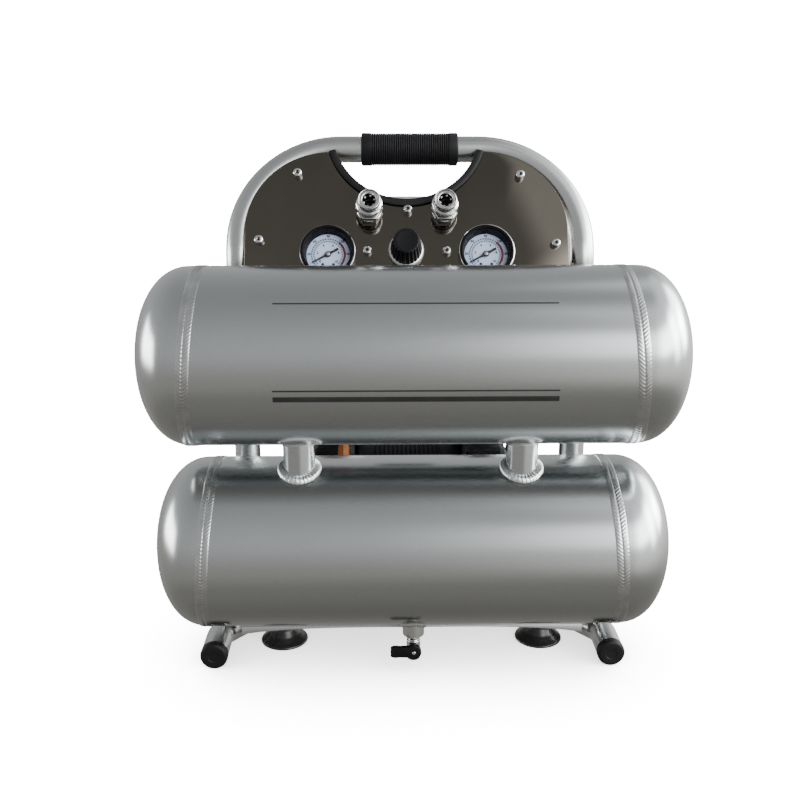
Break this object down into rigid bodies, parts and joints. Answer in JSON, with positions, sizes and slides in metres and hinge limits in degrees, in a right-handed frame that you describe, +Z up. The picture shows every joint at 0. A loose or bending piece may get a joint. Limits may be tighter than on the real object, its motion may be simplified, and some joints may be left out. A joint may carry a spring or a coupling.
{
  "type": "airbrush compressor",
  "caption": "Twin-tank oil-free air compressor on a bent tube frame, with a leaning control panel, gauges, quick couplers and a ribbed carrying handle.",
  "frame": {"origin": "on the floor under the middle of the machine's box", "axes": "+Z up, +X to the right seen from the front along the tanks, the front faces -Y"},
  "size_m": [0.48, 0.36, 0.4835],
  "materials": {
    "black_plastic": "moulded",
    "black_rubber": "matt",
    "brass": "machined",
    "cast_alloy": "die cast",
    "chrome_fittings": "polished",
    "copper": "drawn copper",
    "frame_silver": "satin silver paint",
    "gauge_glass": "clear",
    "panel_mirror": "mirror polished",
    "red_plastic": "moulded",
    "steel": "machined",
    "tank_aluminium": "satin clear-coated"
  },
  "bodies": {
    "machine": {"base_plate": "frame_silver", "control_panel": "panel_mirror", "cord_gland": "black_plastic", "coupler_body_left": "chrome_fittings", "coupler_body_right": "chrome_fittings", "crankcase_left": "cast_alloy", "crankcase_right": "cast_alloy", "discharge_pipe": "copper", "drain_boss": "tank_aluminium", "drain_valve_body": "chrome_fittings", "foot_cap_left": "black_rubber", "foot_cap_right": "black_rubber", "foot_cup_front_left": "black_rubber", "foot_cup_front_right": "black_rubber", "foot_cup_rear_left": "black_rubber", "foot_cup_rear_right": "black_rubber", "frame_tube": "frame_silver", "gauge_case_left": "black_plastic", "gauge_case_right": "black_plastic", "gauge_lens_left": "gauge_glass", "gauge_lens_right": "gauge_glass", "handle_grip": "black_rubber", "intake_filter_left": "black_plastic", "intake_filter_right": "black_plastic", "lower_tank_head_left": "tank_aluminium", "lower_tank_head_right": "tank_aluminium", "lower_tank_shell": "tank_aluminium", "motor_housing": "cast_alloy", "panel_edge_trim": "black_rubber", "panel_screw_1": "chrome_fittings", "panel_screw_2": "chrome_fittings", "panel_screw_3": "chrome_fittings", "panel_screw_4": "chrome_fittings", "panel_screw_5": "chrome_fittings", "panel_screw_6": "chrome_fittings", "panel_screw_7": "chrome_fittings", "pressure_switch": "black_plastic", "pump_cylinder_left": "cast_alloy", "pump_cylinder_right": "cast_alloy", "regulator_manifold": "cast_alloy", "run_capacitor": "black_plastic", "safety_valve": "brass", "tank_link_pipe_left": "tank_aluminium", "tank_link_pipe_right": "tank_aluminium", "upper_tank_head_left": "tank_aluminium", "upper_tank_head_right": "tank_aluminium", "upper_tank_shell": "tank_aluminium"},
    "drain_handle": {"drain_lever": "black_plastic"},
    "needle_left": {"gauge_needle_left": "black_plastic"},
    "needle_right": {"gauge_needle_right": "black_plastic"},
    "sleeve_left": {"coupler_sleeve_left": "chrome_fittings"},
    "sleeve_right": {"coupler_sleeve_right": "chrome_fittings"},
    "knob": {"regulator_knob": "black_plastic"},
    "switch_handle": {"switch_lever": "red_plastic"},
    "pull_ring": {"safety_pull_ring": "steel"},
    "rotor": {"motor_shaft": "steel", "cooling_fan_left": "black_plastic", "cooling_fan_right": "black_plastic"},
    "piston_and_rod_left": {"piston_left": "cast_alloy"},
    "piston_and_rod_right": {"piston_right": "cast_alloy"}
  },
  "joints": [
    {"name": "drain_lever_turn", "type": "hinge", "parent": "machine", "child": "drain_handle", "pos_m": [0, -0.139, 0.0268], "axis": [0, 1, 0], "range_deg": [0, 90]},
    {"name": "gauge_needle_left_swing", "type": "hinge", "parent": "machine", "child": "needle_left", "pos_m": [-0.079, -0.0016, 0.37231], "axis": [0, 0.8829, -0.4695], "range_deg": [-13, 251], "stiffness_Nm_per_rad": 0.0005},
    {"name": "gauge_needle_right_swing", "type": "hinge", "parent": "machine", "child": "needle_right", "pos_m": [0.0718, -0.0016, 0.37231], "axis": [0, 0.8829, -0.4695], "range_deg": [-13, 251], "stiffness_Nm_per_rad": 0.0005},
    {"name": "coupler_sleeve_left_slide", "type": "slide", "parent": "machine", "child": "sleeve_left", "axis": [0, 0.8829, -0.4695], "range_m": [0, 0.005], "stiffness_N_per_m": 800, "springref_m": -0.002},
    {"name": "coupler_sleeve_right_slide", "type": "slide", "parent": "machine", "child": "sleeve_right", "axis": [0, 0.8829, -0.4695], "range_m": [0, 0.005], "stiffness_N_per_m": 800, "springref_m": -0.002},
    {"name": "regulator_knob_turn", "type": "hinge", "parent": "machine", "child": "knob", "pos_m": [-0.0046, -0.01632, 0.38297], "axis": [0, -0.8829, 0.4695], "range_deg": [-360, 720]},
    {"name": "switch_lever_swing", "type": "hinge", "parent": "machine", "child": "switch_handle", "pos_m": [0.0314, 0.05407, 0.34067], "axis": [1, 0, 0], "range_deg": [0, 45]},
    {"name": "safety_ring_pull", "type": "slide", "parent": "machine", "child": "pull_ring", "axis": [-1, 0, 0], "range_m": [0, 0.004], "stiffness_N_per_m": 500, "springref_m": -0.002},
    {"name": "motor_shaft_spin", "type": "hinge", "parent": "machine", "child": "rotor", "pos_m": [0, 0.1035, 0.098], "axis": [1, 0, 0], "continuous": true},
    {"name": "piston_left_stroke", "type": "slide", "parent": "machine", "child": "piston_and_rod_left", "axis": [0, 0, 1], "range_m": [-0.014, 0]},
    {"name": "piston_right_stroke", "type": "slide", "parent": "machine", "child": "piston_and_rod_right", "axis": [0, 0, 1], "range_m": [-0.014, 0]}
  ]
}
